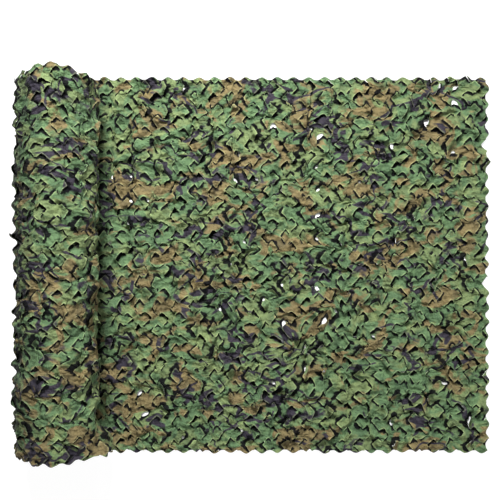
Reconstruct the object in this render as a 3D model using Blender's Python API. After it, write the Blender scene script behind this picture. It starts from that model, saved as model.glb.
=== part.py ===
"""Camouflage net, die-cut from one length of cloth, partly unrolled.

The net lies on a flat surface. Its left part is a roll of many turns, laid
along Y. The rest lies loose to the right of it (+X). The loose part passes
under the roll and climbs its left side, as the roll's outer turn.

It is one piece of cloth, so it is one solid:
  - the loose part is a low sheet that reaches as high as the cut tabs stand,
    flat underneath, with soft swells on top, wavy cut edges on its three free
    sides and its largest see-through gaps;
  - the roll is a wound form: a spiral section with a flat spot where it lies,
    soft lumps along it, and the main turns showing as a spiral on its ends.

Metres, +Z up. The origin is at the centre of the bounding box's base.
"""

from math import cos, hypot, pi, radians, sin

import bmesh
import bpy
from mathutils import Vector
from mathutils.geometry import delaunay_2d_cdt

# ---------------------------------------------------------------- dimensions

NET_WIDTH = 1.500  # along Y, over the crests of the wavy edges
TOTAL_LENGTH = 1.858  # along X, from the roll's left side to the free edge

ROLL_RADIUS = 0.163  # outer turn, where it leaves the floor
TURN_PITCH = 0.010  # one turn of loose cloth, tabs and all
ROLL_SETTLE = 0.005  # how far the roll sags under its own weight
ROLL_FLAT = 0.003  # how much of it the floor flattens, about 60 mm across
ROLL_HALF_LENGTH = 0.744  # to the middle of the turns' edges on the ends
ROLL_FOOT = 0.0015  # the roll's flat spot, inside the sheet's height

SHEET_LOFT = 0.0165  # mean height of the loose part
EDGE_LOFT = 0.0095  # its height along the free edges, where it lies lower
EDGE_FADE = 0.070  # how far in from an edge it gains its full height
INNER_STEP = 0.076  # spacing of the sheet's inner mesh points

# Wavy cut edges: length of one wave, height from trough to crest.
LONG_WAVE, LONG_DEPTH = 0.0625, 0.012
FREE_WAVE, FREE_DEPTH = 0.0580, 0.015
POINTS_PER_WAVE = 5

ROLL_AROUND = 80  # mesh points round the roll
ROLL_ALONG = 18  # mesh steps along it
END_PITCH = 0.030  # radial distance between two main turns on the ends
END_RELIEF = 0.0050  # half the height of a main turn's edge over its groove
LUMP_ROOM = 0.003  # how far the roll's middle lies inside, to leave lumps room

X_LEFT = -TOTAL_LENGTH / 2
X_FREE = TOTAL_LENGTH / 2
ROLL_X = X_LEFT + ROLL_RADIUS - TURN_PITCH / 4
ROLL_Z = ROLL_RADIUS - ROLL_SETTLE - ROLL_FLAT + ROLL_FOOT
SHEET_X0 = ROLL_X - 0.036  # the sheet's hidden end, under the roll
CREST_Y = NET_WIDTH / 2

# Soft lumps on the roll: size in m, waves round it, waves along it, phase.
ROLL_LUMPS = (
    # size, around, along, phase
    (0.0022, 3, 1.0, 0.4),
    (0.0018, 5, 2.5, 1.9),
    (0.0016, 2, 4.5, 3.1),
    (0.0012, 8, 3.5, 0.9),
    (0.0010, 11, 6.0, 2.2),
)

# Swells of the loose part: size in m, wave vector in waves per metre, phase.
SHEET_SWELLS = (
    # size, waves_x, waves_y, phase
    (0.0020, 1.3, 0.9, 0.3),
    (0.0016, -2.1, 2.6, 1.7),
    (0.0014, 3.7, 1.4, 2.9),
    (0.0012, 2.2, -4.3, 0.8),
    (0.0010, 5.1, 3.9, 4.0),
)

# The largest see-through gaps: centre, width along X, height along Y, lean to
# the right of the upright. They are openings between cut tabs.
GAPS = (
    # x, y, width, height, lean_deg
    (0.789, 0.654, 0.015, 0.032, 0),
    (0.669, 0.564, 0.022, 0.026, -12),
    (0.541, 0.476, 0.014, 0.028, 14),
    (0.253, 0.520, 0.015, 0.027, 0),
    (0.065, 0.560, 0.014, 0.026, 10),
    (0.247, 0.200, 0.014, 0.028, 0),
    (0.245, -0.092, 0.014, 0.026, -8),
    (0.273, -0.212, 0.015, 0.028, 8),
    (0.109, -0.228, 0.014, 0.026, 0),
    (0.757, -0.472, 0.015, 0.030, 10),
    (-0.447, -0.596, 0.015, 0.028, -10),
    (-0.463, -0.508, 0.014, 0.026, 0),
)

COLOUR = (0.130, 0.180, 0.095, 1.0)  # the print's mean green, linear


# ------------------------------------------------------------------ the sheet


def crest(t):
    """Height of a wavy cut edge at t waves: 0 in a trough, 1 on a crest."""
    return 0.5 - 0.5 * cos(2 * pi * t)


def long_edge_y(x):
    """Half the net's width at x, on its long edges."""
    return CREST_Y - LONG_DEPTH * (1 - crest((X_FREE - x) / LONG_WAVE))


def free_edge_x(y):
    """Where the free end is cut, at y."""
    waves = (y + CREST_Y) / FREE_WAVE
    return X_FREE - FREE_DEPTH * (1 - crest(waves + 0.5))


def steps(start, stop, count):
    return [start + (stop - start) * i / count for i in range(count)]


def sheet_outline():
    """The sheet's outline, anticlockwise from its lower left corner."""
    n_long = round((X_FREE - SHEET_X0) / LONG_WAVE * POINTS_PER_WAVE)
    n_free = round(NET_WIDTH / FREE_WAVE * POINTS_PER_WAVE)
    inner = X_FREE - FREE_DEPTH * 0.5
    lower = [(x, -long_edge_y(x)) for x in steps(SHEET_X0, inner, n_long)]
    free = [
        (free_edge_x(y), y) for y in steps(-CREST_Y + 0.007, CREST_Y - 0.007, n_free)
    ]
    tip_low = [(X_FREE - 0.002, -CREST_Y)]
    tip_high = [(X_FREE - 0.002, CREST_Y)]
    upper = [(x, long_edge_y(x)) for x in reversed(steps(SHEET_X0, inner, n_long))]
    return lower + tip_low + free + tip_high + upper


def gap_outline(x, y, width, height, lean_deg):
    """One see-through gap: a rounded lozenge of eight points, clockwise."""
    shape = ((0, 1), (0.62, 0.72), (1, 0), (0.62, -0.72))
    shape += tuple((-a, -b) for a, b in shape)
    c, s = cos(radians(lean_deg)), sin(radians(lean_deg))
    return [
        (x + c * a * width / 2 + s * b * height / 2, y - s * a * width / 2 + c * b * height / 2)
        for a, b in shape
    ]


def edge_distance(x, y):
    return min(CREST_Y - abs(y), X_FREE - x)


def sheet_height(x, y):
    """Height of the loose part's top: its loft, its swells and its low edges."""
    near = min(1.0, max(0.0, edge_distance(x, y) / EDGE_FADE))
    near = near * near * (3 - 2 * near)
    swell = sum(
        a * sin(2 * pi * (wx * x + wy * y) + phase) for a, wx, wy, phase in SHEET_SWELLS
    )
    return EDGE_LOFT + (SHEET_LOFT - EDGE_LOFT) * near + swell * (0.25 + 0.75 * near)


def inside(point, loop):
    x, y = point
    result = False
    for (x1, y1), (x2, y2) in zip(loop, loop[1:] + loop[:1]):
        if (y1 > y) != (y2 > y) and x < (x2 - x1) * (y - y1) / (y2 - y1) + x1:
            result = not result
    return result


def triangulate(loops, extra=(), lines=()):
    """Triangles between an outline and its holes, with extra inner points.

    lines are pairs of points that must be joined by an edge.
    """
    points, edges = [], []
    for loop in loops:
        first = len(points)
        points += loop
        edges += [(first + i, first + (i + 1) % len(loop)) for i in range(len(loop))]
    fixed = len(points)
    points += extra
    edges += lines
    verts, _, faces, origins, _, _ = delaunay_2d_cdt(
        [Vector(p) for p in points], edges, [], 1, 1e-7
    )
    if len(verts) != len(points):
        raise ValueError("the outline crosses itself")
    back = [sources[0] for sources in origins]
    kept = []
    for face in faces:
        centre = sum((verts[i] for i in face), Vector((0, 0))) / len(face)
        if inside(centre, loops[0]) and not any(inside(centre, h) for h in loops[1:]):
            kept.append([back[i] for i in face])
    return points, kept, fixed


def inner_points(gaps):
    """A staggered grid over the sheet, clear of its outline and its gaps."""
    found = []
    rows = int(NET_WIDTH / (INNER_STEP * 0.87))
    for j in range(rows + 1):
        y = -CREST_Y + NET_WIDTH * (j + 0.5) / (rows + 1)
        x = SHEET_X0 + INNER_STEP * (0.5 + 0.5 * (j % 2))
        while x < X_FREE:
            clear = edge_distance(x, y) > 0.030
            if clear and all(hypot(x - g[0], y - g[1]) > 0.034 for g in gaps):
                found.append((x, y))
            x += INNER_STEP
    for x, y, width, height, _ in gaps:  # a ring that holds the height at a gap
        for k in range(6):
            found.append((x + 0.030 * cos(pi * k / 3), y + 0.034 * sin(pi * k / 3)))
    return found


def make_sheet():
    outline = sheet_outline()
    holes = [gap_outline(*gap) for gap in GAPS]
    points, top, fixed = triangulate([outline] + holes, inner_points(GAPS))
    _, base, _ = triangulate([outline] + holes)
    verts = [(x, y, sheet_height(x, y)) for x, y in points]
    low = len(verts)
    verts += [(x, y, 0.0) for x, y in points[:fixed]]
    faces = [tuple(f) for f in top]
    faces += [tuple(low + i for i in reversed(f)) for f in base]
    first = 0
    for loop in [outline] + holes:
        n = len(loop)
        for i in range(n):
            a, b = first + i, first + (i + 1) % n
            faces.append((low + a, low + b, b, a))
        first += n
    return solid("sheet", verts, faces)


# ------------------------------------------------------------------- the roll


def roll_radius(turn, y):
    """Radius at turn (0 under the roll, 0.25 left, 0.5 top, 0.75 right)."""
    lumps = sum(
        size * sin(2 * pi * (around * turn + along * y / NET_WIDTH) + phase)
        for size, around, along, phase in ROLL_LUMPS
    )
    ease = min(1.0, 8 * turn, 8 * (1 - turn))  # none where the sheet leaves it
    return ROLL_RADIUS - TURN_PITCH * turn + (lumps - LUMP_ROOM) * ease


def roll_section(turn, radius):
    """A point of the roll's section, sagging below its axis, from that axis."""
    x, z = -radius * sin(2 * pi * turn), -radius * cos(2 * pi * turn)
    return x, z * (1 - ROLL_SETTLE / ROLL_RADIUS) if z < 0 else z


def spiral(start_radius, ridge, y):
    """Points along one spiral of an end, from outside in: x, z, how far out.

    It starts where it has come clear of the rim. The rim is at y.
    """
    found, turns = [], 0.0
    while start_radius - END_PITCH * turns > END_PITCH * 0.25:
        radius = start_radius - END_PITCH * turns
        found.append((*roll_section(turns % 1, radius), ridge * END_RELIEF))
        if radius > roll_radius(turns % 1, y) - 0.009:
            found.clear()
        turns += min(1 / 7, 0.030 / (2 * pi * radius))
    return found


def make_roll():
    verts, faces, rings = [], [], []
    for j in range(ROLL_ALONG + 1):
        side = 2 * j / ROLL_ALONG - 1
        ring = []
        for i in range(ROLL_AROUND):
            turn = i / ROLL_AROUND
            y = ROLL_HALF_LENGTH * side
            x, z = roll_section(turn, roll_radius(turn, y))
            if abs(side) == 1:  # the outer turn's wavy cut edge
                waves = 2 * pi * ROLL_RADIUS * turn / LONG_WAVE
                y = side * (CREST_Y - LONG_DEPTH * (1 - crest(waves)))
            ring.append(len(verts))
            verts.append((ROLL_X + x, y, max(ROLL_Z + z, ROLL_FOOT)))
        rings.append(ring)
    for a, b in zip(rings, rings[1:]):
        for i in range(ROLL_AROUND):
            k = (i + 1) % ROLL_AROUND
            faces.append((a[i], a[k], b[k], b[i]))

    # The ends: the main turns' edges stand out as a ridge, a groove between.
    for ring, side in ((rings[0], -1), (rings[-1], 1)):
        groove = spiral(ROLL_RADIUS - 0.5 * END_PITCH, -1, side * ROLL_HALF_LENGTH)
        ridge = spiral(ROLL_RADIUS, 1, side * ROLL_HALF_LENGTH)
        rim = [(verts[i][0] - ROLL_X, verts[i][2] - ROLL_Z) for i in ring]
        inner = [p[:2] for p in groove + ridge]
        n = len(rim)
        lines = [(n + i, n + i + 1) for i in range(len(groove) - 1)]
        n += len(groove)
        lines += [(n + i, n + i + 1) for i in range(len(ridge) - 1)]
        _, triangles, _ = triangulate([rim], inner, lines)
        index = list(ring)
        for x, z, out in groove + ridge:
            index.append(len(verts))
            verts.append((ROLL_X + x, side * (ROLL_HALF_LENGTH + out), ROLL_Z + z))
        faces += [tuple(index[i] for i in f) for f in triangles]
    return solid("roll", verts, faces)


# ------------------------------------------------------------------- building


def solid(name, verts, faces):
    """A closed mesh object, with every face turned outwards."""
    mesh = bpy.data.meshes.new(name)
    mesh.from_pydata(verts, [], faces)
    bm = bmesh.new()
    bm.from_mesh(mesh)
    bmesh.ops.triangulate(bm, faces=bm.faces)
    bmesh.ops.recalc_face_normals(bm, faces=bm.faces)
    if bm.calc_volume(signed=True) < 0:
        bmesh.ops.reverse_faces(bm, faces=bm.faces)
    bm.to_mesh(mesh)
    bm.free()
    obj = bpy.data.objects.new(name, mesh)
    bpy.context.scene.collection.objects.link(obj)
    return obj


def cloth_material():
    mat = bpy.data.materials.new("camouflage_cloth")
    mat.use_nodes = True
    shader = mat.node_tree.nodes["Principled BSDF"]
    shader.inputs["Base Color"].default_value = COLOUR
    shader.inputs["Roughness"].default_value = 0.75
    shader.inputs["Metallic"].default_value = 0.0
    return mat


def main():
    for obj in list(bpy.data.objects):
        bpy.data.objects.remove(obj, do_unlink=True)

    net = make_sheet()
    net.name = net.data.name = "camouflage_net"
    roll = make_roll()
    roll.hide_render = True
    roll.display_type = "WIRE"

    join = net.modifiers.new("wound_part", "BOOLEAN")
    join.operation = "UNION"
    join.solver = "EXACT"
    join.object = roll

    # The origin goes to the middle of the bounding box's base.
    places = [v.co.x for obj in (net, roll) for v in obj.data.vertices]
    shift = -(min(places) + max(places)) / 2
    for obj in (net, roll):
        for v in obj.data.vertices:
            v.co.x += shift

    net.data.materials.append(cloth_material())


main()
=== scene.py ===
"""Camouflage net, partly unrolled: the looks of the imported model.

The net is one length of printed cloth, die-cut all over with hook-shaped slits.
It is cut flat here, slit by slit, then laid: its tabs lift, its strips sag
and buckle, and the far end is wound on to the roll turn by turn.
Metres, +Z up.
"""

import math

import bpy
import numpy as np
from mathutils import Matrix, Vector
from mathutils.geometry import delaunay_2d_cdt


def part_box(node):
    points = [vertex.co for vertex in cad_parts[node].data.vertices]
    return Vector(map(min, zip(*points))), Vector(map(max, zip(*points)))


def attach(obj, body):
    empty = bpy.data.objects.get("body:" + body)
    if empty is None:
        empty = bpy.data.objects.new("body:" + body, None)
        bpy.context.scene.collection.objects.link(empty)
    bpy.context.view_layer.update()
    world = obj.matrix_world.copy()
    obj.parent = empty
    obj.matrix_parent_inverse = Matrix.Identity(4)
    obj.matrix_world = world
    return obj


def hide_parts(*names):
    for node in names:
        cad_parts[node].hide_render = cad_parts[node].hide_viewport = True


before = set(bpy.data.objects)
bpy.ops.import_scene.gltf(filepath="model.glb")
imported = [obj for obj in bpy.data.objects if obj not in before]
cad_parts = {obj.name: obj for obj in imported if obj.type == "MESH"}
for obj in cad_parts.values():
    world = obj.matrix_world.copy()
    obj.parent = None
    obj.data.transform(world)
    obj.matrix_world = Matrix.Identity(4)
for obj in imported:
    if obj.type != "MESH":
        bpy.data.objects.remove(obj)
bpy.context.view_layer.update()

NODE = "camouflage_net"
low, high = (np.array(p, float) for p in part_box(NODE))

# ------------------------------------------------------------------ sizes

WIDTH = 1.500  # over the crests of the wavy long edges
X_FREE = high[0]  # the free end's crests
ROLL_RADIUS = 0.163
TURN_PITCH = 0.010
WOUND_PITCH = 0.0085  # of the turns under the outer one
ROLL_LOFT = 0.016  # of the outer turn's tabs
ROLL_X = low[0] + ROLL_RADIUS - TURN_PITCH / 4
ROLL_Z = ROLL_RADIUS - 0.0065
LONG_WAVE, LONG_DEPTH = 0.0625, 0.012
FREE_WAVE, FREE_DEPTH = 0.0580, 0.013

CELL_U, CELL_V = 0.073, 0.092  # the die's repeat, as the net lies
SLACK = 1.05  # cut size over size as it lies
CUT_STEP = 0.0044  # mesh spacing along a cut
MESH_STEP = 0.0048  # mesh spacing elsewhere

# The die's two hook-shaped cuts, in mm: right, up. Each frees a square tab, and
# the second is the first one turned over and moved on by half a repeat.
HOOK = ((40, 13), (24, 28), (0, 0), (25, -27))
HOOKS = (HOOK, tuple((70 - x, y - CELL_V * 500) for x, y in HOOK))

# See-through gaps: x and y on the floor, width and length. The first twelve are
# open in the solid too, the rest are small.
GAPS = (
    (0.790, 0.654, 0.013, 0.030),
    (0.670, 0.564, 0.015, 0.026),
    (0.542, 0.476, 0.012, 0.028),
    (0.254, 0.520, 0.013, 0.027),
    (0.066, 0.560, 0.012, 0.026),
    (0.248, 0.200, 0.012, 0.028),
    (0.246, -0.092, 0.013, 0.028),
    (0.274, -0.212, 0.014, 0.028),
    (0.110, -0.228, 0.012, 0.026),
    (0.758, -0.472, 0.013, 0.030),
    (-0.446, -0.596, 0.013, 0.028),
    (-0.462, -0.508, 0.012, 0.026),
) + tuple(
    (x, y, 0.0075, 0.017)
    for x, y in (
        (-0.575, 0.352), (-0.499, 0.356), (-0.499, 0.256), (-0.431, 0.260),
        (-0.083, 0.340), (-0.003, 0.340), (0.089, 0.264), (-0.047, 0.092),
        (-0.155, 0.192), (-0.063, 0.444), (0.221, 0.544), (0.785, 0.452),
        (0.241, 0.392), (0.417, 0.332), (0.249, 0.300), (0.243, 0.106),
        (-0.367, -0.688), (-0.291, -0.688), (-0.055, -0.660), (0.069, -0.472),
        (0.117, -0.308), (0.105, -0.080), (-0.051, -0.132), (0.029, -0.136),
        (-0.143, -0.172), (0.169, -0.380), (0.321, -0.184), (0.397, -0.284),
        (0.197, -0.328), (0.193, -0.404), (0.833, -0.568), (0.193, -0.616),
        (0.541, -0.636), (0.469, -0.284), (0.277, -0.420),
    )
)  # fmt: skip

S_TANGENT = X_FREE - ROLL_X  # where the net leaves the floor, from the free end
S_SPLIT = S_TANGENT + 0.02
OUTER_TURN = 2 * math.pi * (ROLL_RADIUS - 0.010) * 1.10
S_END = S_TANGENT + OUTER_TURN

rng = np.random.default_rng(20)


def crest(t):
    """Rounded crests with short straight runs between them."""
    return np.clip(0.62 - 0.82 * np.cos(2 * np.pi * t), 0, 1.44) / 1.44


def long_edge(s):
    """Half the net's width at s from the free end."""
    return WIDTH / 2 - LONG_DEPTH * (1 - crest(s / LONG_WAVE))


def free_edge(v):
    return FREE_DEPTH * (1 - crest((v + WIDTH / 2) / FREE_WAVE + 0.5))


def smooth(x):
    x = np.clip(x, 0, 1)
    return x * x * (3 - 2 * x)


def waves(u, v, rows):
    """A sum of plane waves: rows of size, waves per metre along u and v, phase."""
    return sum(a * np.sin(2 * np.pi * (fu * u + fv * v) + p) for a, fu, fv, p in rows)


def random_waves(seed, size, low_f, high_f, count=9):
    r = np.random.default_rng(seed)
    rows = []
    for _ in range(count):
        f, d = r.uniform(low_f, high_f), r.uniform(0, 2 * np.pi)
        rows.append((1.0, f * np.cos(d), f * np.sin(d), r.uniform(0, 2 * np.pi)))
    k = size / math.sqrt(count / 2)
    return [(a * k, fu, fv, p) for a, fu, fv, p in rows]


# ------------------------------------------------------------ the flat cloth


def rounded(path, radius, step):
    """A path of straight runs with rounded corners, as evenly spaced points."""
    path = [np.array(p, float) for p in path]
    fine = [path[0]]
    for a, b, c in zip(path, path[1:], path[2:]):
        into, out = (a - b) / np.linalg.norm(a - b), (c - b) / np.linalg.norm(c - b)
        cut = radius / math.tan(math.acos(np.clip(into @ out, -1, 1)) / 2)
        p, q = b + into * cut, b + out * cut
        for t in np.linspace(0, 1, 7):
            fine.append((1 - t) ** 2 * p + 2 * t * (1 - t) * b + t * t * q)
    fine = np.array(fine + [path[-1]])
    along = np.concatenate(
        [[0], np.cumsum(np.linalg.norm(np.diff(fine, axis=0), axis=1))]
    )
    n = max(2, round(along[-1] / step) + 1)
    at = np.linspace(0, along[-1], n)
    return np.stack([np.interp(at, along, fine[:, k]) for k in (0, 1)], 1)


def cut_cloth():
    """The flat cloth from the free end (u=0) to S_END, as lattice-sized triangles.

    u is the distance from the free end, v lies across. Returns the vertices,
    the triangles, and the triangles' corners before the cuts part them.
    """
    half = WIDTH / 2
    n_long = int(round(S_END / 0.0046))
    us = np.linspace(0, S_END, n_long + 1)[:-1]
    us = us[us > FREE_DEPTH * 0.55]
    n_free = int(round(WIDTH / 0.0045))
    vs = np.linspace(-half + 0.004, half - 0.004, n_free)
    lower = [(u, -long_edge(u)) for u in us[::-1]]
    tips = [(0.0015, -half), (0.0015, half)]
    free = [(free_edge(v), v) for v in vs]
    upper = [(u, long_edge(u)) for u in us]
    outline = (
        [(S_END, -long_edge(S_END))]
        + lower
        + tips[:1]
        + free
        + tips[1:]
        + upper
        + [(S_END, long_edge(S_END))]
    )
    far = [(S_END, v) for v in np.linspace(half, -half, n_free)[3:-3]]
    outline += far
    outline = np.array(outline, float)
    points = [outline]
    edges = [
        np.stack(
            [np.arange(len(outline)), (np.arange(len(outline)) + 1) % len(outline)], 1
        )
    ]
    n_outline = len(outline)
    # The cuts.
    shapes = [rounded(np.array(h) * 1e-3, 0.0025, CUT_STEP) for h in HOOKS]
    for shape in shapes:
        shape[:, 0] *= -1  # u runs to the left as the net is seen
    ni, nj = int(S_END / CELL_U) + 2, int(WIDTH / CELL_V / 2) + 1
    total = n_outline
    for i in range(-1, ni + 1):
        for j, shape in [(j, s) for j in range(-nj - 1, nj + 2) for s in shapes]:
            p = shape + (U0 + i * CELL_U, V0 + j * CELL_V)
            inside = (
                (p[:, 0] > free_edge(p[:, 1]) - 0.004)
                & (p[:, 0] < S_END - 0.006)
                & (np.abs(p[:, 1]) < long_edge(p[:, 0]) + 0.004)
            )
            run = []
            for k in range(len(p)):
                if inside[k]:
                    run.append(p[k])
                if run and (not inside[k] or k == len(p) - 1):
                    # No cut runs from edge to edge.
                    if not inside[k] and k - len(run) > 0:
                        run = run[: len(run) // 2]
                    if len(run) > 2:
                        points.append(np.array(run))
                        m = np.arange(len(run) - 1)
                        edges.append(np.stack([m, m + 1], 1) + total)
                        total += len(run)
                    run = []
    fixed = np.concatenate(points)
    edges = np.concatenate(edges)
    # Even points between, kept clear of the cuts and the outline.
    gu = np.arange(0, S_END, MESH_STEP)
    gv = np.arange(-half, half, MESH_STEP * 0.866)
    grid = np.stack(np.meshgrid(gu, gv), -1)
    grid[1::2, :, 0] += MESH_STEP / 2
    grid = grid.reshape(-1, 2) + rng.uniform(-0.08, 0.08, (grid.size // 2, 2)) * MESH_STEP
    keep = (
        (grid[:, 0] > free_edge(grid[:, 1]) + 0.0028)
        & (grid[:, 0] < S_END - 0.0028)
        & (np.abs(grid[:, 1]) < long_edge(grid[:, 0]) - 0.0028)
    )
    grid = grid[keep]
    # Distance to the nearest fixed point, by bins.
    near = np.zeros(len(grid), bool)
    size = 0.0036
    bins = {}
    for k, (a, b) in enumerate((fixed / size).astype(int).tolist()):
        bins.setdefault((a, b), []).append(k)
    for g, (a, b) in enumerate((grid / size).astype(int).tolist()):
        for da in (-1, 0, 1):
            for db in (-1, 0, 1):
                for k in bins.get((a + da, b + db), ()):
                    if (grid[g, 0] - fixed[k, 0]) ** 2 + (
                        grid[g, 1] - fixed[k, 1]
                    ) ** 2 < 0.0033**2:
                        near[g] = True
    grid = grid[~near]
    every = np.concatenate([fixed, grid])
    verts, out_edges, faces, _, edge_from, _ = delaunay_2d_cdt(
        [Vector(p) for p in every.tolist()], edges.tolist(), [], 1, 1e-7, True
    )
    verts = np.array([v[:] for v in verts])
    faces = np.array([f[:] for f in faces if len(f) == 3])
    middle = verts[faces].mean(1)
    kept = (middle[:, 0] > free_edge(middle[:, 1]) - 1e-4) & (
        np.abs(middle[:, 1]) < long_edge(middle[:, 0]) + 1e-4
    )
    faces = faces[kept]
    is_cut = np.array([any(k >= n_outline for k in e) for e in edge_from])
    cuts = np.sort(np.array(out_edges)[is_cut], axis=1)
    return verts, faces, cuts


def part_along(verts, faces, cuts):
    """Splits the mesh along the cuts. Returns vertices' sources and new faces."""
    n = len(verts)
    key_cut = set((cuts[:, 0].astype(np.int64) * n + cuts[:, 1]).tolist())
    f = len(faces)
    sides = np.concatenate([faces[:, [0, 1]], faces[:, [1, 2]], faces[:, [2, 0]]])
    corner = np.concatenate(
        [
            np.stack([np.arange(f) * 3, np.arange(f) * 3 + 1], 1),
            np.stack([np.arange(f) * 3 + 1, np.arange(f) * 3 + 2], 1),
            np.stack([np.arange(f) * 3 + 2, np.arange(f) * 3], 1),
        ]
    )
    swap = sides[:, 0] > sides[:, 1]
    sides[swap] = sides[swap][:, ::-1]
    corner[swap] = corner[swap][:, ::-1]
    key = sides[:, 0].astype(np.int64) * n + sides[:, 1]
    order = np.argsort(key, kind="stable")
    key, corner = key[order], corner[order]
    same = np.nonzero(key[1:] == key[:-1])[0]
    cut = np.isin(key[same], np.array(sorted(key_cut)))
    joined = same[~cut]
    a = np.concatenate([corner[joined, 0], corner[joined, 1]])
    b = np.concatenate([corner[joined + 1, 0], corner[joined + 1, 1]])
    label = np.arange(f * 3)
    while True:
        lowest = np.minimum(label[a], label[b])
        new = label.copy()
        np.minimum.at(new, a, lowest)
        np.minimum.at(new, b, lowest)
        if (new == label).all():
            break
        label = new
    names, index = np.unique(label, return_inverse=True)
    source = faces.reshape(-1)[names]
    faces = index.reshape(-1, 3)
    # What a cut and the edge part from the net between them falls out.
    piece = np.arange(len(source))
    while True:
        lowest = piece[faces].min(1)
        new = piece.copy()
        for k in range(3):
            np.minimum.at(new, faces[:, k], lowest)
        new = new[new]
        if (new == piece).all():
            break
        piece = new
    main = np.bincount(piece).argmax()
    faces = faces[piece[faces[:, 0]] == main]
    used, index = np.unique(faces, return_inverse=True)
    return source[used], index.reshape(-1, 3)


U0, V0 = 0.030, 0.020  # where the die's lattice lies on the cloth

flat, faces, cuts = cut_cloth()
source, faces = part_along(flat, faces, cuts)
uv = flat[source]
print("cloth:", len(uv), "points", len(faces), "triangles")

# ----------------------------------------------------- which tab a point is on

TABS = []  # corners: hinge's top, two free ones and the hinge's foot
for h in HOOKS:
    h = np.array(h, float) * 1e-3
    TABS.append(np.concatenate([h[:3], h[3:] + (h[3:] - h[2:3]) * 0.22]) * (-1, 1))


def in_quad(p, quad):
    """Points inside a convex quad."""
    side = []
    for a, b in zip(quad, np.roll(quad, -1, axis=0)):
        side.append((b[0] - a[0]) * (p[:, 1] - a[1]) - (b[1] - a[1]) * (p[:, 0] - a[0]))
    side = np.array(side)
    return (side > -1e-7).all(0) | (side < 1e-7).all(0)


middle = uv[faces].mean(1)
face_tab = np.full(len(faces), -1)
ni = int(S_END / CELL_U) + 3
nj = int(WIDTH / CELL_V) + 9
for du in (-1, 0, 1, 2):
    for dv in (-1, 0, 1, 2):
        ci = np.round((middle[:, 0] - U0) / CELL_U).astype(int) + du
        cj = np.round((middle[:, 1] - V0) / CELL_V).astype(int) + dv
        local = middle - np.stack([U0 + ci * CELL_U, V0 + cj * CELL_V], 1)
        for t, quad in enumerate(TABS):
            hit = in_quad(local, quad) & (face_tab < 0)
            face_tab[hit] = (((ci + 2) * nj + cj + nj // 2) * 2 + t)[hit]

tab = np.full(len(uv), -1)
for k in range(3):
    on = face_tab >= 0
    tab[faces[on, k]] = face_tab[on]
cell = tab // 2
centre = np.stack(
    [U0 + (cell // nj - 2) * CELL_U, V0 + (cell % nj - nj // 2) * CELL_V], 1
)
depth = np.zeros(len(uv))  # distance from the tab's hinge
across = np.zeros(len(uv))
inward = np.zeros((len(uv), 2))
for t, quad in enumerate(TABS):
    on = (tab >= 0) & (tab % 2 == t)
    a, b = quad[3], quad[0]
    h = (b - a) / np.linalg.norm(b - a)
    n = np.array([-h[1], h[0]])
    if n @ (quad[1] - a) < 0:
        n = -n
    rel = uv[on] - centre[on] - a
    depth[on] = np.clip(rel @ n, 0, None)
    across[on] = rel @ h - np.linalg.norm(b - a) / 2
    inward[on] = n

# ------------------------------------------------------------- laying it down

n_tabs = (ni + 6) * nj * 2 + 8
tab_rng = np.random.default_rng(7)
# How a tab turns at its hinge, in radians: most lie nearly flat, some stand up,
# and a few lie under their neighbours.
kind = tab_rng.random(n_tabs)
tilt = tab_rng.normal(0.06, 0.20, n_tabs)
tilt = np.where(kind < 0.28, tab_rng.uniform(0.28, 0.80, n_tabs), tilt)
tilt = np.where(kind > 0.90, tab_rng.uniform(-0.30, -0.12, n_tabs), tilt)
curl = tab_rng.normal(0, 10, n_tabs)  # radians per metre
twist = tab_rng.normal(0, 0.28, n_tabs)
# On the roll's two flanks the tabs hang out from it.
tab_s = U0 + (np.arange(n_tabs) // 2 // nj - 2) * CELL_U
tab_round = np.abs((tab_s - S_TANGENT) / (ROLL_RADIUS - 0.018) - math.pi)
out_ = np.exp(-(((tab_round - math.pi / 2) / 0.42) ** 2)) * (tab_s > S_TANGENT)
most = np.where(tab_s < S_TANGENT + math.pi * (ROLL_RADIUS - 0.018), 1.0, 0.7)
tilt = np.maximum(tilt, out_ * tab_rng.uniform(0.25, 1.0, n_tabs) * most)
# The cloth lies like shingles: above a tab it covers the tab's edge, and below
# the tab's edge lies on top.
cover = tab_rng.gamma(3.5, 0.0032, n_tabs).clip(0.002, 0.024)
cover[tab_rng.random(n_tabs) < 0.18] = 0.0005  # some cuts stay shut
bare = tab_rng.normal(0.0040, 0.0025, n_tabs).clip(-0.003, 0.011)

BASE = 0.0100
swell = random_waves(3, 0.0020, 2, 6) + random_waves(4, 0.0038, 7, 13)


def facets(p, pitch, slope, rise_, soft, seed):
    """A crumpled height field: flat facets that meet in soft creases."""
    r = np.random.default_rng(seed)
    cell = np.floor(p / pitch).astype(int)
    shift = cell.min(0) - 1
    cell = cell - shift
    n = cell.max(0) + 3
    spot = r.uniform(0.1, 0.9, (*n, 2))
    grad = r.normal(0, slope, (*n, 2))
    top = r.normal(0, rise_, n)
    total, weight = np.zeros(len(p)), np.zeros(len(p))
    for du in (-1, 0, 1):
        for dv in (-1, 0, 1):
            i, j = (cell + (du, dv)).T
            centre = (np.stack([i, j], 1) + shift + spot[i, j]) * pitch
            rel = p - centre
            w = np.exp(-((rel**2).sum(1)) / (2 * soft**2)) + 1e-12
            total += w * (top[i, j] + (grad[i, j] * rel).sum(1))
            weight += w
    return total / weight


def edge_list(faces, n):
    sides = np.sort(
        np.concatenate([faces[:, [0, 1]], faces[:, [1, 2]], faces[:, [2, 0]]]), axis=1
    )
    opposite = np.concatenate([faces[:, 2], faces[:, 0], faces[:, 1]])
    key = sides[:, 0].astype(np.int64) * n + sides[:, 1]
    order = np.argsort(key, kind="stable")
    key, sides, opposite = key[order], sides[order], opposite[order]
    first = np.concatenate([[True], key[1:] != key[:-1]])
    pair = np.nonzero(key[1:] == key[:-1])[0]
    return sides[first], np.stack([opposite[pair], opposite[pair + 1]], 1)


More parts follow.
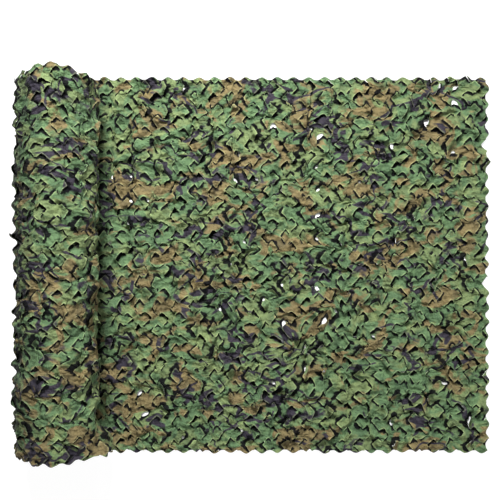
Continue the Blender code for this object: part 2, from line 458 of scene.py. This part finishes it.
def scatter(index, values, n):
    return np.stack([np.bincount(index, values[:, k], n) for k in range(values.shape[1])], 1)


edges, bends = edge_list(faces, len(uv))
degree = (
    np.bincount(edges[:, 0], minlength=len(uv))
    + np.bincount(edges[:, 1], minlength=len(uv))
).clip(1)[:, None]


def spread(values, fixed, rounds, keep):
    """Carries the values at the fixed points into the cloth around them, fading."""
    a, b = edges.T
    out = np.where(fixed[:, None], values, 0.0)
    for _ in range(rounds):
        mean = (scatter(a, out[b], len(out)) + scatter(b, out[a], len(out))) / degree
        out = np.where(fixed[:, None], values, mean * keep)
    return out


def lay(pos, steps, floor, hold):
    """Lets the cloth settle: it keeps its cut lengths, and lies on the floor."""
    n = len(pos)
    a, b = edges.T
    c, d = bends.T
    rest = SLACK * np.linalg.norm(uv[a] - uv[b], axis=1)
    open_ = SLACK * np.linalg.norm(uv[c] - uv[d], axis=1)
    bend_degree = (np.bincount(c, minlength=n) + np.bincount(d, minlength=n)).clip(1)
    home = pos[:, :2].copy()
    for step in range(steps):
        diff = pos[a] - pos[b]
        length = np.sqrt((diff**2).sum(1)) + 1e-9
        push = diff * ((rest - length) / length * 0.5)[:, None]
        move = scatter(a, push, n) - scatter(b, push, n)
        pos = pos + move / degree * 1.6
        diff = pos[c] - pos[d]
        length = np.sqrt((diff**2).sum(1)) + 1e-9
        short = np.clip(0.95 * open_ - length, 0, None)
        push = diff * (short / length * 0.5)[:, None]
        move = scatter(c, push, n) - scatter(d, push, n)
        pos = pos + move / bend_degree[:, None] * 0.8
        pos[:, :2] += (home - pos[:, :2]) * hold[:, None]
        # Both sides of a cut stay as far apart as they were lifted.
        gap = pos[upper_side, 2] - pos[lower_side, 2]
        need = np.clip(parting - gap, 0, None)
        pos[upper_side, 2] += need * 0.5
        pos[lower_side, 2] -= need * 0.5
        pos[:, 2] = np.maximum(pos[:, 2], floor)
    return pos


# A tab turns up about its hinge and curls towards its tip.
on_tab = tab >= 0
d = depth[on_tab]
angle = tilt[tab[on_tab]] + curl[tab[on_tab]] * d * 0.5
start = smooth(d / 0.009)
rise = np.zeros(len(uv))
rise[on_tab] = start * d * np.sin(angle)
back = np.zeros(len(uv))
back[on_tab] = start * d * (1 - np.cos(angle))
lateral = np.zeros(len(uv))
lateral[on_tab] = across[on_tab] * twist[tab[on_tab]] * smooth(d / 0.02)

# The two sides of each cut, and where along its hook they are.
order = np.argsort(source, kind="stable")
twin = np.nonzero(source[order][1:] == source[order][:-1])[0]
pa, pb = order[twin], order[twin + 1]
spot = uv[pa]
best = np.full(len(pa), 1.0)
hook_s, hook_length, hook_tab = np.zeros(len(pa)), np.ones(len(pa)), np.zeros(len(pa), int)
tab_middle = np.zeros((len(pa), 2))
for du in (-1, 0, 1, 2):
    for dv in (-1, 0, 1, 2):
        ci = np.round((spot[:, 0] - U0) / CELL_U).astype(int) + du
        cj = np.round((spot[:, 1] - V0) / CELL_V).astype(int) + dv
        corner = np.stack([U0 + ci * CELL_U, V0 + cj * CELL_V], 1)
        for t, hook in enumerate(HOOKS):
            path = np.array(hook) * 1e-3 * (-1, 1)
            runs = np.linalg.norm(np.diff(path, axis=0), axis=1)
            for k in range(3):
                rel = spot - corner - path[k]
                run = (path[k + 1] - path[k]) / runs[k]
                at = np.clip(rel @ run, 0, runs[k])
                away = np.linalg.norm(rel - at[:, None] * run, axis=1)
                near_ = away < best
                best[near_] = away[near_]
                hook_s[near_] = (runs[:k].sum() + at)[near_]
                hook_length[near_] = runs.sum()
                hook_tab[near_] = (((ci + 2) * nj + cj + nj // 2) * 2 + t)[near_]
                tab_middle[near_] = (corner + TABS[t].mean(0))[near_]
around = np.zeros((len(uv), 2))
count = np.zeros(len(uv))
for k in range(3):
    around += np.stack([np.bincount(faces[:, k], middle[:, c], len(uv)) for c in (0, 1)], 1)
    count += np.bincount(faces[:, k], minlength=len(uv))
around /= count[:, None]
swap = np.linalg.norm(around[pa] - tab_middle, axis=1) > np.linalg.norm(
    around[pb] - tab_middle, axis=1
)
tab_side, strip_side = np.where(swap, pb, pa), np.where(swap, pa, pb)
ends = smooth(np.minimum(hook_s, hook_length - hook_s) / 0.013)

# The shingling: how far the tab's side lies above the other one.
lap = np.interp(hook_s, (0.0, 0.012, 0.048, 0.060, 0.072, 0.085, 0.100), (0, -0.8, -1.0, -0.8, 0, 0, 0))
lap = lap * cover[hook_tab] + np.interp(hook_s, (0.060, 0.078, 0.092, 0.100), (0, 1, 1, 0.3)) * bare[hook_tab]
lap *= ends
values = np.zeros((len(uv), 1))
count = np.zeros(len(uv))
for side, share in ((tab_side, 0.5), (strip_side, -0.5)):
    values[:, 0] += np.bincount(side, lap * share, len(uv))
    count += np.bincount(side, minlength=len(uv))
values /= count.clip(1)[:, None]
lip = count > 0

z = BASE + waves(uv[:, 0], uv[:, 1], swell) + facets(uv, 0.030, 0.42, 0.0022, 0.0050, 5)
z = z + rise + lateral + spread(values, lip, 26, 0.955)[:, 0]
fall = z[tab_side] - z[strip_side]
upper_side = np.where(fall > 0, tab_side, strip_side)
lower_side = np.where(fall > 0, strip_side, tab_side)
parting = (0.85 * np.abs(fall)).clip(0.0004, 0.022) * ends
z += rng.normal(0, 0.0003, len(z))

warp_u = random_waves(11, 0.0036, 2, 6) + random_waves(13, 0.0036, 8, 14)
warp_v = random_waves(12, 0.0036, 2, 6) + random_waves(14, 0.0036, 8, 14)
inner = smooth((WIDTH / 2 - np.abs(uv[:, 1])) / 0.10) * smooth(uv[:, 0] / 0.10)
x = uv[:, 0] + waves(uv[:, 0], uv[:, 1], warp_u) * inner - inward[:, 0] * back
y = uv[:, 1] + waves(uv[:, 0], uv[:, 1], warp_v) * inner - inward[:, 1] * back
pos = np.stack([x, y, z], 1)

edge_hold = 1 - smooth((WIDTH / 2 - np.abs(uv[:, 1])) / 0.02) * smooth(uv[:, 0] / 0.02)
hold = 0.02 + 0.10 * edge_hold
hold[on_tab] *= 0.3
pos = lay(pos, 36, 0.0006, hold)

# The way from a cut into the cloth of its upper side, in plan.
a, b = edges.T
inner_pull = scatter(a, (pos[b] - pos[a])[:, :2] * (~lip[b])[:, None], len(uv)) + scatter(
    b, (pos[a] - pos[b])[:, :2] * (~lip[a])[:, None], len(uv)
)
way = inner_pull[upper_side] - inner_pull[lower_side]
way /= np.linalg.norm(way, axis=1)[:, None] + 1e-9

# The lower side of each cut reaches a little way under the upper one.
TUCK = 0.0045
opening = ((pos[upper_side] - pos[lower_side])[:, :2] * way).sum(1)
need = np.clip(opening + TUCK * ends, 0, 0.022)
values = np.zeros((len(uv), 2))
for side, share in ((upper_side, -0.12), (lower_side, 0.88)):
    for k in (0, 1):
        values[:, k] += np.bincount(side, way[:, k] * need * share, len(uv))
values /= count.clip(1)[:, None]
pos[:, :2] += spread(values, lip, 20, 0.935)
gap = pos[upper_side, 2] - pos[lower_side, 2]
need = np.clip(parting - gap, 0, None)
values = np.zeros((len(uv), 1))
values[:, 0] = (
    np.bincount(upper_side, need * 0.5, len(uv)) - np.bincount(lower_side, need * 0.5, len(uv))
) / count.clip(1)
pos[:, 2:] += spread(values, lip, 10, 0.87)
pos[:, 2] = np.maximum(pos[:, 2], 0.0006)

# The gaps: the nearest cut is moved to each, and its two sides are drawn apart.
# Two of them are slits close to the far edge, opened only in this cloth.
EDGE_SLITS = ((0.728, 0.708, 0.0105, 0.026), (0.794, 0.708, 0.0105, 0.026))
inset = np.minimum(hook_s, hook_length - hook_s)
profile = np.zeros(len(upper_side))
gap_width = np.zeros(len(upper_side))
gap_near = np.full(len(uv), 1.0)
for gx, gy, w, h in EDGE_SLITS + GAPS:
    w, h = 1.30 * w, 1.15 * h  # the cloth closes on them a little
    c = np.array([X_FREE - gx, gy])
    mid = (pos[upper_side, :2] + pos[lower_side, :2]) / 2
    cost = np.linalg.norm(mid - c, axis=1)
    cost += 0.007 * ((hook_s < 0.030) | (hook_s > 0.052)) + 0.1 * (inset < 0.018)
    k = cost.argmin()
    r2 = ((pos[:, :2] - c) ** 2).sum(1)
    pos[:, :2] += (c - mid[k]) * np.exp(-r2 / (2 * 0.034**2))[:, None]
    same = hook_tab == hook_tab[k]
    bump_ = np.clip(1 - ((hook_s - hook_s[k]) / (h / 2)) ** 2, 0, 1) * same
    better = bump_ * w > profile * gap_width
    profile[better], gap_width[better] = bump_[better], w
    gap_near = np.minimum(gap_near, np.linalg.norm(pos[:, :2] - c, axis=1) + (0.014 - w))
opening = ((pos[upper_side] - pos[lower_side])[:, :2] * way).sum(1)
need = np.clip(gap_width * profile - TUCK * (1 - profile) - opening, 0, 0.03)
need *= profile > 0
values = np.zeros((len(uv), 2))
for side, share in ((upper_side, 0.5), (lower_side, -0.5)):
    for k in (0, 1):
        values[:, k] += np.bincount(side, way[:, k] * need * share, len(uv))
values /= count.clip(1)[:, None]
moved = np.abs(values).sum(1) > 1e-6
pos[:, :2] += spread(values, moved | (gap_near > 0.075), 26, 0.95)
pos[:, 2] *= 0.40 + 0.60 * smooth((gap_near - 0.008) / 0.022)
pos[:, 2] = np.maximum(pos[:, 2], 0.0006)

# The outer edges stay about as they were cut.
from_edge = np.minimum(uv[:, 0] - free_edge(uv[:, 1]), long_edge(uv[:, 0]) - np.abs(uv[:, 1]))
stiff = 1 - 0.75 * smooth(1 - from_edge / 0.035)
pos[:, :2] = uv + (pos[:, :2] - uv) * stiff[:, None]

# Distance to the nearest cut edge on a point's own side, and how far that edge
# lies below (+) or above (-) the other side of the cut.
drop = np.zeros(len(uv))
fall = pos[upper_side, 2] - pos[lower_side, 2]
drop[lower_side] = fall
drop[upper_side] = -fall
nearest = np.where(lip, np.arange(len(uv)), -1)
reach = np.where(lip, 0.0, 1.0)
both = np.concatenate([edges, edges[:, ::-1]])
size = np.linalg.norm(uv[both[:, 0]] - uv[both[:, 1]], axis=1)
for _ in range(9):
    via = reach[both[:, 0]] + size
    better = via < reach[both[:, 1]] - 1e-9
    pick = np.nonzero(better)[0]
    pick = pick[np.argsort(-via[pick], kind="stable")]
    reach[both[pick, 1]] = via[pick]
    nearest[both[pick, 1]] = nearest[both[pick, 0]]
edge = np.where(nearest >= 0, np.linalg.norm(uv - uv[nearest], axis=1), 0.05)
drop = np.where(nearest >= 0, drop[nearest], 0.0)

# --------------------------------------------------------- onto the floor and roll


SAG = random_waves(41, 0.0030, 1.5, 5) + random_waves(42, 0.0022, 6, 11)


def ripple_rows(seed, size, count=5):
    """Waves that run along the roll, about 58 mm long."""
    r = np.random.default_rng(seed)
    return [(size, r.uniform(-6, 6), r.uniform(14, 20), r.uniform(0, 7)) for _ in range(count)]


RIPPLE = ripple_rows(43, 0.0022)
BULGE = random_waves(44, 0.0050, 3, 11)


def domed(v, angle):
    """The roll's ends stand out at its top and draw in down its flanks."""
    north = 0.975 + 0.0325 * np.cos(2 * angle)
    south = 0.980 + 0.0100 * np.cos(2 * angle)
    share = smooth((v / WIDTH + 0.5 - 0.3) / 0.4)
    k = south + (north - south) * share
    return v * (1 + (k - 1) * smooth(angle / 0.9))


def place(pos):
    """From laid-out cloth (distance from the free end, across, height) to the net."""
    s, v, h = pos.T
    x = X_FREE - s
    out = np.stack([x, v, h], 1)
    on_roll = s > S_TANGENT
    base = ROLL_RADIUS - ROLL_LOFT
    turn = (s - S_TANGENT) / (2 * np.pi * (base - TURN_PITCH / 2))
    radius = base - TURN_PITCH * turn
    angle = 2 * np.pi * turn
    pressed = smooth((np.abs(s - S_TANGENT) - 0.02) / 0.06)
    h2 = h * (0.15 + 0.85 * pressed)
    top = smooth((0.5 - np.abs(turn - 0.5)) / 0.25)  # 1 along the roll's top
    h2 = h2 * (1 - 0.25 * top * smooth(h2 / 0.03))
    r = radius + h2 + smooth(turn / 0.2) * waves(s, v, SAG)
    # One loose flap at the roll's near end, over the net beside it.
    flap = smooth((-v - 0.62) / 0.09) * np.exp(-(((turn - 0.785) / 0.10) ** 2))
    r = r + 0.052 * flap
    hang = np.exp(-(((turn - 0.27) / 0.09) ** 2))  # the far flank's ripples
    r = r + hang * waves(s, v, RIPPLE)
    r = r + np.exp(-(((turn - 0.75) / 0.09) ** 2)) * waves(s, v, BULGE)
    side = np.sin(angle)
    rx = ROLL_X - (r + np.where(side > 0, -0.0045, 0.008) * np.abs(side)) * side
    rz = ROLL_Z - r * np.cos(angle)
    lift_ = (ROLL_Z - base) * (1 - smooth(turn / 0.10))
    rz = np.maximum(rz - lift_, 0.0008 + 0.1 * h2)
    out[on_roll] = np.stack([rx, domed(v, angle), rz], 1)[on_roll]
    out[~on_roll, 2] = (h * (0.15 + 0.85 * pressed))[~on_roll]
    return out


placed = place(pos)


def mesh_object(name, points, faces, cloth, lips=None, chart=None):
    mesh = bpy.data.meshes.new(name)
    used, index = np.unique(faces, return_inverse=True)
    faces = index.reshape(-1, 3)
    mesh.vertices.add(len(used))
    mesh.vertices.foreach_set("co", points[used].astype(np.float32).ravel())
    mesh.loops.add(faces.size)
    mesh.loops.foreach_set("vertex_index", faces.astype(np.int32).ravel())
    mesh.polygons.add(len(faces))
    mesh.polygons.foreach_set("loop_start", np.arange(0, faces.size, 3, dtype=np.int32))
    mesh.polygons.foreach_set("loop_total", np.full(len(faces), 3, np.int32))
    mesh.update(calc_edges=True)
    mesh.validate()
    where = mesh.attributes.new("cloth", "FLOAT_VECTOR", "POINT")
    data = np.zeros((len(used), 3), np.float32)
    data[:, :2] = cloth[used]
    where.data.foreach_set("vector", data.ravel())
    # The lip attribute holds the distance to the nearest cut, that cut's drop, and the painted roll shade.
    lip_data = np.zeros((len(used), 3), np.float32)
    lip_data[:, 0] = 0.05
    if lips is not None:
        lip_data[:] = lips[used]
    mesh.attributes.new("lip", "FLOAT_VECTOR", "POINT").data.foreach_set(
        "vector", lip_data.ravel()
    )
    # A flat chart of the cloth.
    if chart is None:
        spot = cloth[used][index]
        spot = (spot - spot.min(0)) / (spot.max(0) - spot.min(0))
    else:
        spot = chart
    mesh.uv_layers.new(name="OFBake").uv.foreach_set(
        "vector", (0.004 + 0.992 * spot).astype(np.float32).ravel()
    )
    mesh.shade_smooth()
    obj = bpy.data.objects.new(name, mesh)
    bpy.context.scene.collection.objects.link(obj)
    return obj


face_s = uv[faces].mean(1)[:, 0]
# Painted shade: the cloth is darkened in the crease beside the roll and down the roll's left flank, carried as the
# third value of the lip attribute.
beside = np.clip((X_FREE - uv[:, 0]) - (ROLL_X + ROLL_RADIUS), 0, None)
roll_shade = 0.28 * np.exp(-((beside / 0.040) ** 2))
round_ = (uv[:, 0] - S_TANGENT) / (ROLL_RADIUS - ROLL_LOFT)  # angle from the floor
flank = np.abs(np.cos(round_ / 2))  # 0 on top, 1 underneath
flank_shade = np.interp(flank, (0.10, 0.24, 0.36, 0.46, 0.58), (0, 0.18, 0.44, 0.66, 0.80))
flank_shade = np.where(round_ > math.pi, 0.0, flank_shade)
roll_shade = np.where(uv[:, 0] > S_TANGENT, flank_shade, roll_shade).clip(0, 1)
lips = np.stack([edge, drop, roll_shade], 1)
S_HALF = 0.88  # the loose length is two meshes, to keep each one small
spans = {
    "net_loose_end": (face_s < S_HALF),
    "net_loose": (face_s >= S_HALF) & (face_s < S_SPLIT),
    "net_outer_turn": face_s >= S_SPLIT,
}
loose_end, loose, outer = (
    mesh_object(name, placed, faces[on][:, ::-1], uv, lips) for name, on in spans.items()
)


def wound():
    """The turns under the outer one, down to the core."""
    base = ROLL_RADIUS - ROLL_LOFT - TURN_PITCH  # at the end of the outer turn
    s_base = S_TANGENT + 2 * np.pi * (base + TURN_PITCH / 2)
    turns = [1.02]
    while base - WOUND_PITCH * (turns[-1] - 1) > 0.014:
        r = base - WOUND_PITCH * (turns[-1] - 1)
        turns.append(turns[-1] + 0.0085 / (2 * np.pi * r))
    turns = np.array(turns)
    radius = base - WOUND_PITCH * (turns - 1)
    s = s_base + 2 * np.pi * (base * (turns - 1) - WOUND_PITCH * (turns - 1) ** 2 / 2)
    inset = np.array([0, 0.004, 0.008, 0.013, 0.020, 0.030, 0.045, 0.07, 0.11, 0.2, 0.35, 0.55])
    rows_t = np.concatenate([inset / 0.75, 2 - inset[::-1] / 0.75]) - 1
    n_r = len(rows_t)
    S, T = np.meshgrid(s, rows_t, indexing="ij")
    R, A = np.meshgrid(radius, rows_t, indexing="ij")
    TU = np.meshgrid(turns, rows_t, indexing="ij")[0]
    V = long_edge(S) * T / 1.0
    near = np.exp(-((1 - np.abs(T)) * 0.75 / 0.03))
    R = R + waves(S * 1.0, V, random_waves(31, 0.0016, 6, 14)) + near * waves(S, V, random_waves(32, 0.0016, 14, 26))
    V = V + np.sign(V) * near * waves(S, V * 0, random_waves(33, 0.0035, 3, 12))
    ang = 2 * np.pi * TU
    P = np.stack([ROLL_X - R * np.sin(ang), domed(V, ang), ROLL_Z - R * np.cos(ang)], -1).reshape(-1, 3)
    P[:, 2] = np.maximum(P[:, 2], 0.006)
    idx = np.arange(len(turns) * n_r).reshape(len(turns), n_r)
    q = np.stack([idx[:-1, :-1], idx[1:, :-1], idx[1:, 1:], idx[:-1, 1:]], -1).reshape(-1, 4)
    f = np.concatenate([q[:, [0, 1, 2]], q[:, [0, 2, 3]]])
    # Its chart is four strips, with most room for the visible ends.
    at = np.stack(np.meshgrid(np.arange(len(turns)), np.arange(n_r), indexing="ij"), -1)
    at = at.reshape(-1, 2)[f].astype(float)
    per = (len(turns) - 1) // 4 + 1
    strip = at[:, :, 0].min(1) // per
    chart = np.empty(at.shape)
    chart[:, :, 0] = (at[:, :, 0] - strip[:, None] * per) / per
    chart[:, :, 1] = (strip[:, None] + 0.02 + 0.96 * at[:, :, 1] / (n_r - 1)) / 4
    cloth_at = np.stack([S.ravel(), V.ravel()], 1)
    return mesh_object("net_wound", P, f, cloth_at, chart=chart.reshape(-1, 2)), s[-1] - s[0]


inner_turns, wound_length = wound()
pieces = [loose_end, loose, outer, inner_turns]

# -------------------------------------------------------------------- materials


def camo_material():
    mat = bpy.data.materials.new("net_cloth")
    mat.use_nodes = True
    nt = mat.node_tree
    nodes, links = nt.nodes, nt.links
    shader = nodes["Principled BSDF"]

    def math_(operation, *values, clamp=False):
        n = nodes.new("ShaderNodeMath")
        n.operation = operation
        n.use_clamp = clamp
        for k, v in enumerate(values):
            if isinstance(v, (int, float)):
                n.inputs[k].default_value = v
            else:
                links.new(v, n.inputs[k])
        return n.outputs[0]

    def band(value, start, end, kind="SMOOTHSTEP"):
        """0 at start and below, 1 at end and above (or the other way round)."""
        n = nodes.new("ShaderNodeMapRange")
        n.interpolation_type = kind
        for key, v in (("Value", value), ("From Min", start), ("From Max", end)):
            if isinstance(v, (int, float)):
                n.inputs[key].default_value = v
            else:
                links.new(v, n.inputs[key])
        return n.outputs["Result"]

    def vector(source, offset=(0, 0, 0), scale=(1, 1, 1)):
        n = nodes.new("ShaderNodeMapping")
        n.inputs["Location"].default_value = offset
        n.inputs["Scale"].default_value = scale
        links.new(source, n.inputs["Vector"])
        return n.outputs["Vector"]

    def noise(source, scale, detail=2.0, roughness=0.5, distortion=0.0):
        n = nodes.new("ShaderNodeTexNoise")
        n.inputs["Scale"].default_value = scale
        n.inputs["Detail"].default_value = detail
        n.inputs["Roughness"].default_value = roughness
        n.inputs["Distortion"].default_value = distortion
        links.new(source, n.inputs["Vector"])
        return n.outputs["Fac"]

    def mix(factor, below, above, blend="MIX"):
        n = nodes.new("ShaderNodeMix")
        n.data_type = "RGBA"
        n.blend_type = blend
        for k, v in ((0, factor), (6, below), (7, above)):
            if isinstance(v, (int, float)):
                n.inputs[k].default_value = v
            elif isinstance(v, tuple):
                n.inputs[k].default_value = (*v, 1)
            else:
                links.new(v, n.inputs[k])
        return n.outputs[2]

    def attribute(name):
        n = nodes.new("ShaderNodeAttribute")
        n.attribute_name = name
        return n.outputs["Vector"]

    rough = nodes.new("ShaderNodeMapRange")
    rough.inputs["To Min"].default_value = 0.60
    rough.inputs["To Max"].default_value = 0.82
    where = attribute("cloth")
    print_at = vector(where, scale=(0.85, 1.2, 1.0))

    def blobs(offset, scale, cut_low, cut_high, detail=3.5):
        f = noise(vector(print_at, offset), scale, detail, 0.55, 0.8)
        return band(f, cut_low, cut_high)

    light_green = (0.137, 0.182, 0.080)
    mid_green = (0.088, 0.150, 0.073)
    tan = (0.160, 0.127, 0.061)
    dark = (0.032, 0.028, 0.039)
    colour = mix(blobs((0, 0, 0), 11, 0.43, 0.53), light_green, mid_green)
    colour = mix(blobs((5, 3, 1), 8.8, 0.522, 0.582), colour, tan)
    # The dark print runs in branching strokes.
    branch = noise(vector(print_at, (9, 1, 7)), 8.5, 2.0, 0.5, 0.8)
    branch = math_("ABSOLUTE", math_("SUBTRACT", branch, 0.5))
    stroke = math_("MULTIPLY", band(branch, 0.041, 0.027), blobs((2, 8, 4), 6.0, 0.49, 0.53))
    colour = mix(stroke, colour, dark)
    # The dye is a little uneven.
    mottle = band(noise(vector(where, (3, 3, 3)), 26, 3.0, 0.6, 0.3), 0.32, 0.68, "LINEAR")
    colour = mix(mottle, mix(1.0, colour, (0.74, 0.76, 0.80), "MULTIPLY"), mix(1.0, colour, (1.26, 1.24, 1.16), "MULTIPLY"))

    # Painted shade along each cut: the lower side is darkened in a broad band and,
    # right beside the cut, painted near-black as shadow under the tab that covers it;
    # the upper side's edge is lightened with a painted highlight.
    split = nodes.new("ShaderNodeSeparateXYZ")
    links.new(attribute("lip"), split.inputs[0])
    edge_, drop_ = split.outputs[0], split.outputs[1]
    below = band(drop_, 0.0003, 0.0015)
    ragged = band(noise(vector(where, (4, 4, 6)), 52, 1.0, 0.5, 0.0), 0.36, 0.64, "LINEAR")
    # Broad painted shade on the lower side of the cut.
    shade = math_("MULTIPLY", band(edge_, 0.019, 0.004), below)
    shade = math_("MULTIPLY", shade, math_("MULTIPLY_ADD", ragged, 0.8, 0.2))
    colour = mix(shade, colour, (0.25, 0.28, 0.33), "MULTIPLY")
    fall_ = math_("MULTIPLY", math_("MINIMUM", drop_, 0.012), ragged)
    # The painted roll shade also widens the painted shadow along the cuts.
    fall_ = math_("ADD", fall_, math_("MULTIPLY", split.outputs[2], 0.0095))
    width = math_("MULTIPLY_ADD", fall_, 0.78, TUCK + 0.0008)
    far = math_("MULTIPLY_ADD", fall_, 0.98, TUCK + 0.0030)
    # Painted shadow: near-black in a narrow band beside the cut, wider where the drop is bigger.
    painted_crevice_shadow = math_("MULTIPLY", band(edge_, far, width), below)
    colour = mix(math_("MULTIPLY", painted_crevice_shadow, 0.97), colour, (0.002, 0.002, 0.003))
    # Painted highlight along the upper side's edge.
    above = band(drop_, -0.0003, -0.0015)
    painted_rim_highlight = math_("MULTIPLY", band(edge_, 0.0065, 0.0005), above)
    lit = mix(1.0, colour, (0.085, 0.100, 0.050), "ADD")
    colour = mix(math_("MULTIPLY", painted_rim_highlight, 0.9), colour, lit)
    # Painted shade beside and under the roll: the cloth is darkened, in patches, on the roll's left flank and in the
    # crease beside it.
    patchy = band(noise(vector(where, (6, 2, 8)), 38, 1.0, 0.5, 0.0), 0.40, 0.58, "LINEAR")
    roll_shade_patches = math_("MULTIPLY", split.outputs[2], math_("MULTIPLY_ADD", patchy, 0.80, 0.42), clamp=True)
    colour = mix(roll_shade_patches, colour, (0.06, 0.07, 0.10), "MULTIPLY")
    links.new(colour, shader.inputs["Base Color"])

    def bump(height, distance, before=None):
        n = nodes.new("ShaderNodeBump")
        n.inputs["Strength"].default_value = 1.0
        n.inputs["Distance"].default_value = distance
        links.new(height, n.inputs["Height"])
        if before is not None:
            links.new(before, n.inputs["Normal"])
        return n.outputs["Normal"]

    # Soft creases, flat facets with sharp ones, finer wrinkles, then the threads.
    normal = bump(noise(where, 48, 2.0, 0.55, 0.4), 0.0070)
    facet = nodes.new("ShaderNodeTexVoronoi")
    facet.feature = "F1"
    facet.distance = "MANHATTAN"
    facet.inputs["Scale"].default_value = 62
    links.new(vector(where, (2, 5, 3)), facet.inputs["Vector"])
    normal = bump(facet.outputs["Distance"], 0.0064, normal)
    fine = noise(vector(where, (1, 7, 2), (1.0, 1.5, 1.0)), 170, 2.0, 0.6, 0.6)
    normal = bump(fine, 0.0018, normal)
    sides = nodes.new("ShaderNodeSeparateXYZ")
    links.new(where, sides.inputs[0])
    threads = [
        math_("SINE", math_("MULTIPLY", sides.outputs[k], 2 * math.pi / 0.0016))
        for k in (0, 1)
    ]
    normal = bump(math_("MULTIPLY", *threads), 0.00007, normal)
    links.new(normal, shader.inputs["Normal"])
    links.new(band(fine, 0.25, 0.75, "LINEAR"), rough.inputs["Value"])
    links.new(rough.outputs["Result"], shader.inputs["Roughness"])
    shader.inputs["Specular IOR Level"].default_value = 0.09
    shader.inputs["Sheen Weight"].default_value = 0.02
    shader.inputs["Sheen Roughness"].default_value = 0.45
    return mat


cloth = camo_material()
for piece in pieces:
    print(piece.name, len(piece.data.polygons), "triangles")
    piece.data.materials.append(cloth)
    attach(piece, "root")
    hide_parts(NODE)

# ----------------------------------------------------------------------- stage

floor_mesh = bpy.data.meshes.new("floor")
floor_mesh.from_pydata(
    [(-8, -8, 0), (8, -8, 0), (8, 8, 0), (-8, 8, 0)], [], [(0, 1, 2, 3)]
)
floor_obj = bpy.data.objects.new("floor", floor_mesh)
bpy.context.scene.collection.objects.link(floor_obj)
floor_mat = bpy.data.materials.new("floor")
floor_mat.use_nodes = True
floor_shader = floor_mat.node_tree.nodes["Principled BSDF"]
floor_shader.inputs["Base Color"].default_value = (0.16, 0.16, 0.16, 1)
floor_shader.inputs["Roughness"].default_value = 0.9
floor_shader.inputs["Emission Color"].default_value = (1, 1, 1, 1)
# The floor glows a little like a light table, though not under the net.
floor_nodes, floor_links = floor_mat.node_tree.nodes, floor_mat.node_tree.links
floor_at = floor_nodes.new("ShaderNodeSeparateXYZ")
floor_links.new(floor_nodes.new("ShaderNodeNewGeometry").outputs["Position"], floor_at.inputs[0])
glow = 0.93
for axis, centre, half in ((0, 0.0, 0.90), (1, 0.0, 0.715)):
    away = floor_nodes.new("ShaderNodeMath")
    away.operation = "ABSOLUTE"
    floor_links.new(floor_at.outputs[axis], away.inputs[0])
    outside = floor_nodes.new("ShaderNodeMapRange")
    outside.interpolation_type = "SMOOTHSTEP"
    floor_links.new(away.outputs[0], outside.inputs["Value"])
    outside.inputs["From Min"].default_value = half - 0.02
    outside.inputs["From Max"].default_value = half + 0.02
    if axis == 0:
        along = outside
both_ = floor_nodes.new("ShaderNodeMath")
both_.operation = "MAXIMUM"
floor_links.new(along.outputs["Result"], both_.inputs[0])
floor_links.new(outside.outputs["Result"], both_.inputs[1])
scaled = floor_nodes.new("ShaderNodeMath")
scaled.operation = "MULTIPLY"
floor_links.new(both_.outputs[0], scaled.inputs[0])
scaled.inputs[1].default_value = glow
floor_links.new(scaled.outputs[0], floor_shader.inputs["Emission Strength"])
tone = floor_nodes.new("ShaderNodeMix")
tone.data_type = "RGBA"
floor_links.new(both_.outputs[0], tone.inputs[0])
tone.inputs[6].default_value = (0.90, 0.90, 0.90, 1)
tone.inputs[7].default_value = (0.16, 0.16, 0.16, 1)
floor_links.new(tone.outputs[2], floor_shader.inputs["Base Color"])
floor_mesh.materials.append(floor_mat)

world = bpy.data.worlds.new("studio")
bpy.context.scene.world = world
world.use_nodes = True
world_nodes, world_links = world.node_tree.nodes, world.node_tree.links
world_at = world_nodes.new("ShaderNodeSeparateXYZ")
world_links.new(world_nodes.new("ShaderNodeTexCoord").outputs["Generated"], world_at.inputs[0])
level = world_nodes.new("ShaderNodeMapRange")
world_links.new(world_at.outputs[2], level.inputs["Value"])
for key_, value in (("From Min", 0.12), ("From Max", 0.40), ("To Min", 0.62), ("To Max", 0.165)):
    level.inputs[key_].default_value = value
world_links.new(level.outputs["Result"], world_nodes["Background"].inputs["Strength"])
world_nodes["Background"].inputs["Color"].default_value = (1, 1, 1, 1)


key_data = bpy.data.lights.new("key", "AREA")
key_data.energy = 181
key_data.size = 1.3
key_data.spread = math.radians(80)  # so the near edge is a little darker
key = bpy.data.objects.new("key", key_data)
key.location = (-0.75, 4.4, 4.2)
key.rotation_euler = (Vector((-0.3, 1.0, 0)) - key.location).to_track_quat("-Z", "Y").to_euler()
bpy.context.scene.collection.objects.link(key)

fill_data = bpy.data.lights.new("fill", "AREA")
fill_data.energy = 85
fill_data.size = 2.5
fill = bpy.data.objects.new("fill", fill_data)
fill.location = (3.4, -2.0, 3.2)
fill.rotation_euler = (-fill.location).to_track_quat("-Z", "Y").to_euler()
bpy.context.scene.collection.objects.link(fill)

camera_data = bpy.data.cameras.new("camera")
camera = bpy.data.objects.new("camera", camera_data)
bpy.context.scene.collection.objects.link(camera)
CENTRE_SHIFT = -0.023
camera.location = (CENTRE_SHIFT, 0.060, 3.96)
camera.rotation_euler = (0, 0, 0)
camera_data.sensor_width = 36
camera_data.lens = 36 * 3.96 / 2.0
bpy.context.scene.camera = camera
bpy.context.scene.view_settings.view_transform = "Standard"
